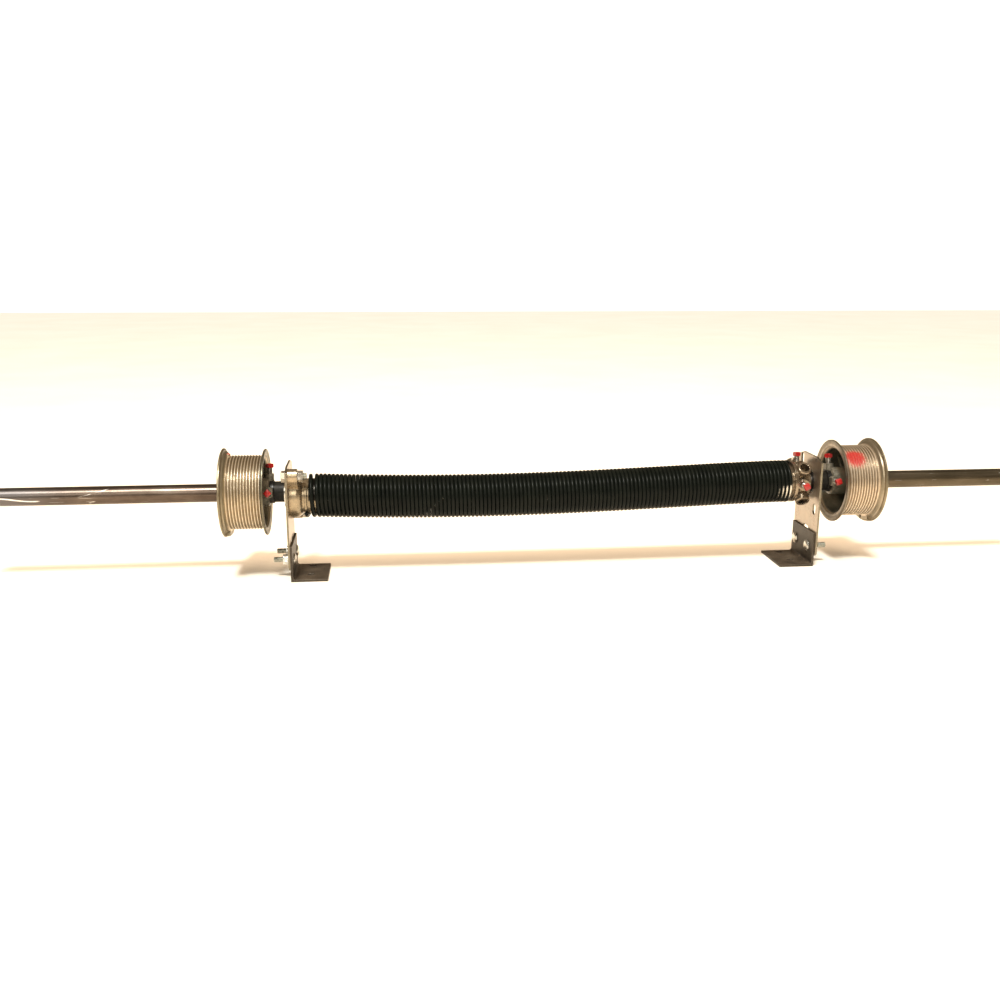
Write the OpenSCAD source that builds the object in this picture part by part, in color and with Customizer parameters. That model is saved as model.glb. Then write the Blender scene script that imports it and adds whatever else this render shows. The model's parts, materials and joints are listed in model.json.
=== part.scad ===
// Garage door torsion spring on its shaft: one spring between a stationary cone and a winding cone,
// two bearing plates on angle feet, and a cable drum at each side. X runs along the shaft, Z is up.

/* [Shaft] */
// Outer diameter of the tubular shaft
shaft_d = 25.4; // [25.2:0.1:25.5]
// Wall of the tubular shaft
shaft_wall = 2.1; // [1.6:0.1:4]
// Length of the shaft
shaft_l = 1540; // [1500:10:2400]
// Height of the shaft's axis above the floor
shaft_h = 120.65; // [118:0.05:124]

/* [Torsion spring] */
// Wire diameter
wire_d = 5.66; // [5.2:0.02:5.68]
// Mean radius of the coils
coil_r = 28.24; // [28.2:0.02:28.3]
// Distance from coil to coil in the closed part
coil_pitch = 5.72; // [5.70:0.01:5.74]
// Number of closed coils
closed_coils = 120; // [100:1:120]

/* [Bearing plates] */
// Width of a plate
plate_w = 85; // [80:1:90]
// Thickness of a plate
plate_t = 2.7; // [2:0.1:3]
// Height of a plate's top edge
plate_top = 161; // [158:0.5:166]
// Height of a plate's bottom edge
plate_bottom = 16; // [10:0.5:17]
// Outside face of the left foot
left_x = -330.5; // [-332:0.5:-329]
// Outside face of the right foot
right_x = 427.9; // [427.5:0.1:430]

/* [Feet] */
// Leg of the foot's angle section
foot_leg = 50.8; // [48:0.2:52]
// Thickness of the angle section
foot_t = 3.2; // [3:0.1:4]
// Length of a foot
foot_l = 78; // [74:0.2:84]

/* [Cable drums] */
// Radius of the drum's outer flange
drum_flange_r = 62.2; // [60:0.1:64]
// Radius over the groove crests
drum_crest_r = 52.2; // [51.8:0.1:52.6]
// Number of cable grooves
drum_grooves = 12; // [8:1:12]
// Turn of both drums about the shaft
drum_turn = -9; // [-14:1:4]

/* [Cones] */
// Diameter of a winding socket
socket_d = 13.2; // [12.9:0.1:14]
// Drop of the stationary cone below the shaft's axis
cone_drop = 6.4; // [5.8:0.1:6.6]

/* [Hidden] */

shaft_r = shaft_d/2;
first_x = -301;          // top of the first, open coil
open_pitch = 8.4;        // pitch of the open coil
turns = closed_coils + 1;
last_half = 2*turns;
drum_l = 60.6;           // width of a drum over its flanges
hub_out = 9.5;           // hub past the inner flange
screw_out = 3.5;         // set screws past the inner flange
left_drum_x = -422.1;    // outer face of the left drum
right_drum_x = 522.4;    // outer face of the right drum
ear_y = 27; ear_z = 33.5;
slot_drop = 3.2;
bolt_y = [-18, 26];
bolt_z = 26.5;

// ---- helpers -------------------------------------------------------------
module along_x() rotate([0, 90, 0]) children();
module at_shaft() translate([0, 0, shaft_h]) children();
// a cylinder along +X from x0 to x1
module rod_x(x0, x1, r, fn = 72) translate([x0, 0, 0]) along_x() cylinder(h = x1 - x0, r = r, $fn = fn);
// hexagon prism along +X, w across flats
module hex_x(x0, x1, w, turn = 0) translate([x0, 0, 0]) along_x() rotate([0, 0, turn]) cylinder(h = x1 - x0, d = w/cos(30), $fn = 6);

// ---- spring --------------------------------------------------------------
// The free coils hang below the shaft's axis, and the end coils keep their cones' height.
function sag(x) = let(u = (min(max(x, -285), 378) - 48)/350)
  -10.1 + 7.8*u + 9.71*u*u - 4.6*u*u*u - 2.02*u*u*u*u;
function half_x(h) = h < 0 ? first_x - 5.5 : h < 2 ? first_x + h*open_pitch/2
  : first_x + open_pitch + (h - 2)*coil_pitch/2;
function hundredth(v) = round(v*100)/100;
function thousandth(v) = round(v*1000)/1000;
// Top and bottom of each coil, where two half turns meet
function half_point(h) = let(x = hundredth(half_x(h)))
  [x, hundredth(shaft_h + sag(x) + (h % 2 == 0 ? coil_r : -coil_r))];
// The nearest angle whose sine and cosine end after seven and six decimals
function short_angle(a) = let(c = round(cos(a)*1e6)/1e6, s = round(sqrt(1 - c*c)*1e7)/1e7)
  sign(a)*atan2(s, c);
// Half a turn of wire from the top point to the bottom point, in front (-Y) or behind (+Y).
// Its lean is turned in two steps, so that neighbours share exactly the same end circle.
module half_turn(top, bottom, front) {
  dx = bottom[0] - top[0];
  dz = top[1] - bottom[1];
  r = sqrt(dx*dx + dz*dz)/2;
  lean = atan2(dx, dz);
  step = short_angle(lean);
  translate([(top[0] + bottom[0])/2, 0, (top[1] + bottom[1])/2])
    rotate([0, -90, 0]) rotate([0, -step, 0]) rotate([0, step - lean, 0]) rotate([front ? 180 : 0, 0, 0])
      rotate_extrude(angle = 180, $fn = 60)
        translate([thousandth(r), 0]) translate([r - thousandth(r), 0]) circle(d = wire_d, $fn = 20);
}
module torsion_spring() color([0.07, 0.07, 0.075]) {
  half_turn(half_point(0), half_point(-1), false);
  for (h = [0:1:last_half - 1])
    half_turn(half_point(h % 2 == 0 ? h : h + 1), half_point(h % 2 == 0 ? h + 1 : h), h % 2 == 0);
}

// ---- shaft ---------------------------------------------------------------
module shaft() color([0.45, 0.41, 0.38]) at_shaft() difference() {
  union() {
    rod_x(-shaft_l/2 + 1, shaft_l/2 - 1, shaft_r, 96);
    translate([-shaft_l/2, 0, 0]) along_x() cylinder(h = 1, r1 = shaft_r - 0.8, r2 = shaft_r, $fn = 96);
    translate([shaft_l/2 - 1, 0, 0]) along_x() cylinder(h = 1, r1 = shaft_r, r2 = shaft_r - 0.8, $fn = 96);
  }
  rod_x(-shaft_l/2 - 1, shaft_l/2 + 1, shaft_r - shaft_wall, 96);
}

// ---- winding cone: turns with the shaft, and holds the spring's right end --
wx = 410.5;
socket_angles = [45, 135, 225, 315];
screw_angles = [-9, 90];
// turns from "up" (+Z) about X; 90 faces the front (-Y)
module around_x(a) rotate([a, 0, 0]) children();
module winding_cone() color([0.66, 0.60, 0.50]) at_shaft() difference() {
  union() {
    translate([368, 0, 0]) along_x() cylinder(h = 3, r1 = 22.6, r2 = 24.4, $fn = 96);
    rod_x(371, 399, 24.4, 96);
    rod_x(397.4, 401.6, 30.2, 96);
    rod_x(401, 421, 25.5, 96);
    translate([401.6, 0, 0]) along_x() cylinder(h = 4, r1 = 29.2, r2 = 25.5, $fn = 96);
    for (a = socket_angles) around_x(a) translate([wx, 0, 0]) {
      cylinder(h = 34.6, r = 10.4, $fn = 48);
      translate([0, 0, 34.6]) cylinder(h = 1.6, r1 = 10.4, r2 = 9.2, $fn = 48);
    }
    for (a = screw_angles) around_x(a) translate([wx - 1, 0, 0]) cylinder(h = 30, r = 8.4, $fn = 48);
  }
  rod_x(360, 430, shaft_r + 0.12, 96);
  for (a = socket_angles) around_x(a) translate([wx, 0, 19.4]) cylinder(h = 26, d = socket_d, $fn = 48);
  for (a = screw_angles) around_x(a) translate([wx - 1, 0, 6]) cylinder(h = 34, r = 4, $fn = 36);
}
// square-head set screw pointing at the shaft, its tip at radius r0
module set_screw(r0, head_r) {
  translate([0, 0, r0]) cylinder(h = 1.2, r1 = 2.8, r2 = 3.95, $fn = 36);
  translate([0, 0, r0 + 1.2]) cylinder(h = head_r - r0 - 1.2, r = 3.95, $fn = 36);
  translate([-4.2, -4.2, head_r]) cube([8.4, 8.4, 6.2]);
}
module winding_cone_set_screws() color([0.78, 0.12, 0.08]) at_shaft()
  for (a = screw_angles) around_x(a) translate([wx - 1, 0, 0]) set_screw(shaft_r, 37);

// ---- stationary cone: bolted to the left plate ---------------------------
flange_l = 13.5;         // thickness of the flange and its ears
ears = [[-ear_y, ear_z, 10.5], [ear_y, -ear_z + slot_drop, 8.8]]; // y, z, radius
module stationary_cone() color([0.64, 0.58, 0.47]) translate([left_x, 0, shaft_h - cone_drop]) difference() {
  union() {
    along_x() rotate_extrude($fn = 96) polygon([
      [20, 0], [30, 0], [30.4, 0.6], [30.4, 10.8], [29.4, 13], [27.4, 15.4], [25.2, 17.4], [24.4, 18.4],
      [24.4, 46.5], [22.6, 49.5], [20, 49.5]]);
    for (e = ears) around_x(atan2(-e[0], e[1])) {
      translate([0, -e[2], 24]) cube([flange_l, 2*e[2], norm([e[0], e[1]]) - 24]);
      translate([0, 0, norm([e[0], e[1]])]) along_x() cylinder(h = flange_l, r = e[2], $fn = 48);
    }
    // start of the raised thread, in front of the first coil
    along_x() rotate([0, 0, -130]) rotate_extrude(angle = 76, $fn = 96)
      polygon([[22, 20.6], [27.3, 21.4], [27.3, 24.2], [22, 25.2]]);
  }
  for (e = ears) around_x(atan2(-e[0], e[1])) translate([-2, 0, norm([e[0], e[1]])])
    along_x() cylinder(h = flange_l + 6, r = 5.1, $fn = 36);
}
module each_ear() for (e = ears) translate([0, e[0], shaft_h - cone_drop + e[1]]) children();
module stationary_cone_bolts() color([0.72, 0.72, 0.70]) each_ear() {
  hex_x(left_x - plate_t - 6.2, left_x - plate_t, 14.3, 10);
  rod_x(left_x - plate_t, -305.6, 4.75, 48);
  translate([-305.6, 0, 0]) along_x() cylinder(h = 1, r1 = 4.75, r2 = 3.9, $fn = 48);
}
module stationary_cone_nuts() color([0.80, 0.80, 0.77]) each_ear() difference() {
  hex_x(left_x + flange_l, left_x + flange_l + 8.2, 14.3, 22);
  rod_x(left_x + flange_l - 1, left_x + flange_l + 10, 4.8, 48);
}

// ---- bearing plates ------------------------------------------------------
// Outline in (Y, Z); s = 1 puts the upper slot at +Y.
module plate_outline() polygon([
  [-plate_w/2, plate_bottom + 4], [-plate_w/2 + 4, plate_bottom], [plate_w/2 - 4, plate_bottom],
  [plate_w/2, plate_bottom + 4], [plate_w/2, plate_top - 5.6], [24, plate_top], [-24, plate_top],
  [-plate_w/2, plate_top - 5.6]]);
module stadium(l, w) {
  square([w, l - w], center = true);
  for (s = [-1, 1]) translate([0, s*(l - w)/2]) circle(d = w, $fn = 36);
}
module plate(s) translate([0, 0, 0]) rotate([90, 0, 90]) linear_extrude(plate_t) difference() {
  plate_outline();
  translate([0, shaft_h]) circle(r = 22.02, $fn = 96);
  translate([s*ear_y, shaft_h + ear_z - slot_drop]) stadium(16.2, 10.4);
  translate([-s*ear_y, shaft_h - ear_z - slot_drop]) stadium(16.2, 10.4);
  for (y = bolt_y) translate([y, bolt_z]) circle(r = 4.25, $fn = 36);
  translate([-2, 49.5]) rotate(90) stadium(20, 10);
}
module left_bearing_plate() color([0.80, 0.80, 0.76]) translate([left_x - plate_t, 0, 0]) plate(-1);
module right_bearing_plate() color([0.80, 0.80, 0.76]) translate([right_x, 0, 0]) plate(1);

// ---- bearings ------------------------------------------------------------
// Built along +X from the plate's inner face at 0; the drum is on the -X side of 0.
ball_r = 2.38; ball_pr = 18.2; ball_x = -3.3; groove_r = 2.43;
module race() at_shaft() along_x() rotate_extrude($fn = 96) difference() {
  union() {
    translate([19.5, -6.5]) square([2.5, 6.4]);
    translate([21, -plate_t - 1.4]) square([3.2, 1.4]);
  }
  translate([ball_pr, ball_x]) circle(r = groove_r, $fn = 36);
}
module balls() at_shaft() for (a = [0:30:330]) around_x(a) translate([ball_x, 0, ball_pr]) sphere(r = ball_r, $fn = 24);
module sleeve(l) at_shaft() along_x() rotate_extrude($fn = 96) difference() {
  union() {
    translate([shaft_r + 0.05, -l]) square([14.65 - shaft_r - 0.05, l - 0.3]);
    translate([14, -6.4]) square([2.9, 5.9]);
  }
  translate([ball_pr, ball_x]) circle(r = groove_r + 0.04, $fn = 36);
}
module to_left() translate([left_x, 0, 0]) children();
module to_right() translate([right_x, 0, 0]) mirror([1, 0, 0]) children();
module left_bearing_race() color([0.62, 0.62, 0.60]) to_left() race();
module right_bearing_race() color([0.62, 0.62, 0.60]) to_right() race();
module left_bearing_balls() color([0.75, 0.75, 0.75]) to_left() balls();
module right_bearing_balls() color([0.75, 0.75, 0.75]) to_right() balls();
left_hub_x = left_drum_x + drum_l + hub_out;
right_hub_x = right_drum_x - drum_l - hub_out;
module left_bearing_sleeve() color([0.05, 0.05, 0.05]) to_left() sleeve(left_x - left_hub_x - 0.4);
module right_bearing_sleeve() color([0.05, 0.05, 0.05]) to_right() sleeve(right_hub_x - right_x - 0.4);

// ---- cable drums: built from the outer face at x = 0 towards +X ----------
drum_screw_angles = [drum_turn, drum_turn + 90];
groove_pitch = 4.1;
groove_x0 = 9.6 + groove_pitch/2;
module drum_section() difference() {
  polygon([
    [12.9, 2], [20, 2], [22, 4], [46.5, 4], [48.5, 2], [56, 0.4], [60.2, 0], [drum_flange_r, 1.2],
    [drum_flange_r, 2.8], [60.8, 3.8], [58.4, 4.4], [57.6, 6.2], [55, 8.2], [drum_crest_r, 9.6],
    [drum_crest_r, 56.6], [57, 57.6], [59.6, 57.6], [60.6, 58.6], [60.6, 60], [59.6, 60.6], [56.5, 60.6],
    [50, 59], [47.4, 55], [47, 12], [44.5, 9], [22.5, 9], [20, 12], [20, drum_l + 2.4], [16.2, drum_l + 4], [16.2, drum_l + hub_out],
    [12.9, drum_l + hub_out]]);
  for (i = [0:1:drum_grooves - 1])
    translate([drum_crest_r + 0.35, groove_x0 + i*groove_pitch]) circle(r = 1.75, $fn = 24);
}
module drum() at_shaft() difference() {
  union() {
    along_x() rotate_extrude($fn = 120) drum_section();
    // five ribs from hub to rim
    for (a = [20:72:340]) around_x(a) translate([6, -2.2, 18.5]) cube([30, 4.4, 29.6]);
    // bosses for the set screws
    for (a = drum_screw_angles) around_x(a) translate([drum_l + screw_out, 0, 15.2])
      intersection() {
        cylinder(h = 10.4, r = 7.4, $fn = 48);
        translate([-9, -9, 0]) cube([9 + hub_out - screw_out - 0.4, 18, 10.4]);
      }
    // raised seat of the cable's end stop, low on the outer flange
    along_x() rotate([0, 0, -22]) rotate_extrude(angle = 44, $fn = 120)
      polygon([[50, 3], [61.4, 3], [61.4, 7.2], [59.4, 9.6], [50, 9.6]]);
  }
  // slot for the cable's end
  around_x(180) translate([2.2, -2.4, 52]) cube([12, 4.8, 20]);
  for (a = [56:72:360]) around_x(a) translate([-2, 0, 33.5]) along_x() cylinder(h = 16, r = 7.5, $fn = 48);
  for (a = drum_screw_angles) around_x(a) translate([drum_l + screw_out, 0, 6]) cylinder(h = 30, r = 4, $fn = 36);
}
module at_left_drum() translate([left_drum_x, 0, 0]) children();
module at_right_drum() translate([right_drum_x, 0, 0]) mirror([1, 0, 0]) children();
module drum_screws() at_shaft() for (a = drum_screw_angles) around_x(a)
  translate([drum_l + screw_out, 0, 0]) set_screw(shaft_r, 33.6);
module left_cable_drum() color([0.66, 0.58, 0.44]) at_left_drum() drum();
module right_cable_drum() color([0.66, 0.58, 0.44]) at_right_drum() drum();
module left_drum_set_screws() color([0.78, 0.12, 0.08]) at_left_drum() drum_screws();
module right_drum_set_screws() color([0.78, 0.12, 0.08]) at_right_drum() drum_screws();

// ---- feet ----------------------------------------------------------------
// Angle section with its outside corner at the origin and its legs along +X and +Z
module foot(shift = 0) difference() {
  translate([0, shift + foot_l/2, 0]) rotate([90, 0, 0]) linear_extrude(foot_l) difference() {
    union() {
      square([foot_leg, foot_t]);
      square([foot_t, foot_leg]);
      square([foot_t + 3.5, foot_t + 3.5]);
    }
    translate([foot_t + 3.5, foot_t + 3.5]) circle(r = 3.5, $fn = 36);
  }
  for (y = bolt_y) translate([-1, y, bolt_z]) along_x() cylinder(h = foot_t + 2, r = 4.25, $fn = 36);
  for (y = [-13, 29]) translate([26, y + shift, -1]) linear_extrude(foot_t + 2) rotate(90) stadium(11, 6.4);
}
module left_foot() color([0.17, 0.15, 0.14]) to_left() foot(-4);
module right_foot() color([0.17, 0.15, 0.14]) to_right() foot();

module carriage_bolts() for (y = bolt_y) translate([0, y, bolt_z]) {
  translate([foot_t, 0, 0]) along_x() rotate_extrude($fn = 48) intersection() {
    translate([0, -8.4]) circle(r = 11.8, $fn = 72);
    translate([0, 0]) square([9, 8]);
  }
  rod_x(-plate_t - 21, foot_t + 0.5, 3.95, 36);
  translate([-plate_t - 22, 0, 0]) along_x() cylinder(h = 1, r1 = 3.2, r2 = 3.95, $fn = 36);
}
module flange_nuts() for (y = bolt_y) translate([0, y, bolt_z]) difference() {
  union() {
    rod_x(-plate_t - 1.6, -plate_t, 8.6, 48);
    hex_x(-plate_t - 9.2, -plate_t - 1, 12.7, y);
  }
  rod_x(-plate_t - 11, 2, 4, 36);
}
module left_carriage_bolts() color([0.74, 0.73, 0.70]) to_left() carriage_bolts();
module right_carriage_bolts() color([0.74, 0.73, 0.70]) to_right() carriage_bolts();
module left_flange_nuts() color([0.72, 0.71, 0.68]) to_left() flange_nuts();
module right_flange_nuts() color([0.72, 0.71, 0.68]) to_right() flange_nuts();

shaft();
torsion_spring();
winding_cone();
winding_cone_set_screws();
stationary_cone();
stationary_cone_bolts();
stationary_cone_nuts();
left_bearing_plate();
right_bearing_plate();
left_bearing_race();
right_bearing_race();
left_bearing_balls();
right_bearing_balls();
left_bearing_sleeve();
right_bearing_sleeve();
left_cable_drum();
right_cable_drum();
left_drum_set_screws();
right_drum_set_screws();
left_foot();
right_foot();
left_carriage_bolts();
right_carriage_bolts();
left_flange_nuts();
right_flange_nuts();
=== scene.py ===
import json
import math

import bmesh
import bpy
import numpy as np
from mathutils import Matrix, Vector

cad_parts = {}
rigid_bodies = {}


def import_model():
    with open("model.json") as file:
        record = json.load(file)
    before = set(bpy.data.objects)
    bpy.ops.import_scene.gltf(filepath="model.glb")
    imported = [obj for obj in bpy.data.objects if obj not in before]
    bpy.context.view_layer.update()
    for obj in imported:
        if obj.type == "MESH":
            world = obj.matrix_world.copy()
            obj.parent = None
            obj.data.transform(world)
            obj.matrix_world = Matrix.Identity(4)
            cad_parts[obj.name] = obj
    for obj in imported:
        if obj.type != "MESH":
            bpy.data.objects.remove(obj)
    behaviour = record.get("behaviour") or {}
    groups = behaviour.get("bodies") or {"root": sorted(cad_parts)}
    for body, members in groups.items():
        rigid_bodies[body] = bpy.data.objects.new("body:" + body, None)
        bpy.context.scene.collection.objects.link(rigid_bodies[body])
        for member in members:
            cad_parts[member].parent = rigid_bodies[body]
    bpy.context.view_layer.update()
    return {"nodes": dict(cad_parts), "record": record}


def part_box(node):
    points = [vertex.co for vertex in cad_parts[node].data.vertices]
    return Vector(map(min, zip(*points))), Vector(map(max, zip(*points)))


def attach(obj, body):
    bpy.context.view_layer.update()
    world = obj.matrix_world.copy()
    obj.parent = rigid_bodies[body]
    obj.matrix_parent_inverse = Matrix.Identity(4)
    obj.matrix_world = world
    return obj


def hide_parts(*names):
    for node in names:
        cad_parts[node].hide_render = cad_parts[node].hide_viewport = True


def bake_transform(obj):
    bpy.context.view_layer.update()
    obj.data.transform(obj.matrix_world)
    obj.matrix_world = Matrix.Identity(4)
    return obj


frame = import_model()

MM = 0.001
record = frame["record"]
joint = record["behaviour"]["joints"][0]
H = joint["pos_m"][2]                      # height of the shaft's axis
FRAME, SHAFT = joint["parent"], joint["child"]

# ------------------------------------------------------------------ helpers


def mesh_piece(name, verts, faces, smooth=None, mats=(), face_mats=None):
    """A mesh object. smooth is an angle in degrees for smooth shading, or None for flat."""
    me = bpy.data.meshes.new(name)
    me.from_pydata([tuple(v) for v in verts], [], [tuple(f) for f in faces])
    me.validate()
    ob = bpy.data.objects.new(name, me)
    bpy.context.scene.collection.objects.link(ob)
    for m in mats:
        me.materials.append(m)
    if face_mats is not None:
        me.polygons.foreach_set("material_index", np.array(face_mats, np.int32))
    if smooth is not None:
        me.polygons.foreach_set("use_smooth", np.ones(len(me.polygons), bool))
        if smooth < 180:
            bm = bmesh.new()
            bm.from_mesh(me)
            for e in bm.edges:
                if len(e.link_faces) == 2 and e.calc_face_angle(0) > math.radians(smooth):
                    e.smooth = False
            bm.to_mesh(me)
            bm.free()
    me.update()
    return ob


class Build:
    """Collects parts of one piece."""

    def __init__(self):
        self.v, self.f, self.m = [], [], []

    def add(self, verts, faces, mat=0, place=None):
        base = len(self.v)
        for p in verts:
            p = Vector(p)
            self.v.append(place @ p if place is not None else p)
        for f in faces:
            self.f.append([base + i for i in f])
            self.m.append(mat)

    def done(self, name, mats, smooth=35):
        return mesh_piece(name, self.v, self.f, smooth, mats, self.m)


def grid_faces(rows, cols, wrap=True):
    out = []
    for i in range(rows - 1):
        for j in range(cols if wrap else cols - 1):
            k = (j + 1) % cols
            out.append((i * cols + j, i * cols + k, (i + 1) * cols + k, (i + 1) * cols + j))
    return out


def lathe(profile, segs=48):
    """Profile of (r, z) from bottom to top, turned about Z. Ends with r = 0 close."""
    verts, rows, caps = [], [], []
    for r, z in profile:
        if r < 1e-9:
            rows.append([len(verts)])
            verts.append((0, 0, z))
        else:
            rows.append(list(range(len(verts), len(verts) + segs)))
            verts += [(r * math.cos(t), r * math.sin(t), z) for t in np.linspace(0, 2 * math.pi, segs, endpoint=False)]
    faces = []
    for a, b in zip(rows, rows[1:]):
        for j in range(segs):
            k = (j + 1) % segs
            if len(a) == 1 and len(b) == 1:
                continue
            if len(a) == 1:
                faces.append((a[0], b[k], b[j]))
            elif len(b) == 1:
                faces.append((a[j], a[k], b[0]))
            else:
                faces.append((a[j], a[k], b[k], b[j]))
    return verts, faces


def thread(r_major, depth, pitch, z0, z1, segs=28, per=8, tip=0.0008):
    """A threaded rod along Z from z0 to z1, with a chamfered end at z1 and a flat end at z0."""
    n = max(int(round((z1 - z0) / pitch * per)), 8)
    rows = []
    for i in range(n + 1):
        z = z0 + (z1 - z0) * i / n
        row = []
        for j in range(segs):
            t = 2 * math.pi * j / segs
            u = (z / pitch - j / segs) % 1.0
            tri = 1 - abs(2 * u - 1)
            tri = min(max((tri - 0.12) / 0.76, 0), 1)
            r = r_major - depth * (1 - tri)
            r = min(r, r_major - depth + max(z1 - z, 0) / tip * depth)
            row.append((r * math.cos(t), r * math.sin(t), z))
        rows.append(row)
    verts = [p for row in rows for p in row]
    faces = grid_faces(n + 1, segs)
    c0 = len(verts)
    verts += [(0, 0, z0), (0, 0, z1)]
    for j in range(segs):
        k = (j + 1) % segs
        faces.append((c0, k, j))
        faces.append((c0 + 1, n * segs + j, n * segs + k))
    return verts, faces


def prism_nut(across, z0, z1, sides=6, bore=0.0, chamfer0=True, chamfer1=True, turn=0.0, slope=0.5, round_to=0.94, segs_side=8, dish=0.0):
    """A hexagon or square head along Z with conical chamfers at its corners."""
    segs = sides * segs_side
    apothem = across / 2
    outline = []
    for j in range(segs):
        t = 2 * math.pi * j / segs + math.radians(turn)
        local = (2 * math.pi * j / segs) % (2 * math.pi / sides) - math.pi / sides
        outline.append((t, apothem / math.cos(local)))
    r_in = apothem * round_to

    def ring(r_list, z_list):
        return [(r * math.cos(t), r * math.sin(t), z) for (t, _), r, z in zip(outline, r_list, z_list)]

    R = [r for _, r in outline]
    lo = [z0 + (max(r - r_in, 0) * slope if chamfer0 else 0) for r in R]
    hi = [z1 - (max(r - r_in, 0) * slope if chamfer1 else 0) for r in R]
    rows = []
    rows.append(ring([max(bore, 1e-5)] * segs, [z0 + dish] * segs))
    rows.append(ring([r_in if chamfer0 else r for r in R], [z0] * segs))
    rows.append(ring(R, lo))
    rows.append(ring(R, hi))
    rows.append(ring([r_in if chamfer1 else r for r in R], [z1] * segs))
    rows.append(ring([max(bore, 1e-5)] * segs, [z1 - dish] * segs))
    verts = [p for row in rows for p in row]
    faces = grid_faces(len(rows), segs)
    last = (len(rows) - 1) * segs
    for j in range(segs):
        k = (j + 1) % segs
        faces.append((last + j, last + k, k, j))
    return verts, faces


def aim(origin, direction, spin=0.0):
    """Matrix that puts local +Z along direction, with its origin there."""
    q = Vector(direction).normalized().to_track_quat("Z", "Y")
    return Matrix.Translation(Vector(origin)) @ q.to_matrix().to_4x4() @ Matrix.Rotation(spin, 4, "Z")


def islands(node):
    """The separate solids of a CAD node, as arrays of corners."""
    me = frame["nodes"][node].data
    co = np.zeros(len(me.vertices) * 3)
    me.vertices.foreach_get("co", co)
    co = co.reshape(-1, 3)
    key, inv = np.unique(np.round(co * 1e6).astype(np.int64), axis=0, return_inverse=True)
    inv = inv.ravel()
    parent = np.arange(len(key))

    def find(i):
        while parent[i] != i:
            parent[i] = parent[parent[i]]
            i = parent[i]
        return i

    for p in me.polygons:
        ids = [int(inv[i]) for i in p.vertices]
        a = find(ids[0])
        for b in ids[1:]:
            b = find(b)
            if a != b:
                parent[b] = a
    root = np.array([find(i) for i in range(len(key))])
    pts = key / 1e6
    out = [pts[root == r] for r in np.unique(root)]
    return sorted(out, key=lambda p: (round(float(p[:, 2].mean()), 4), round(float(p[:, 1].mean()), 4)))


# ---------------------------------------------------------------- materials


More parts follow.
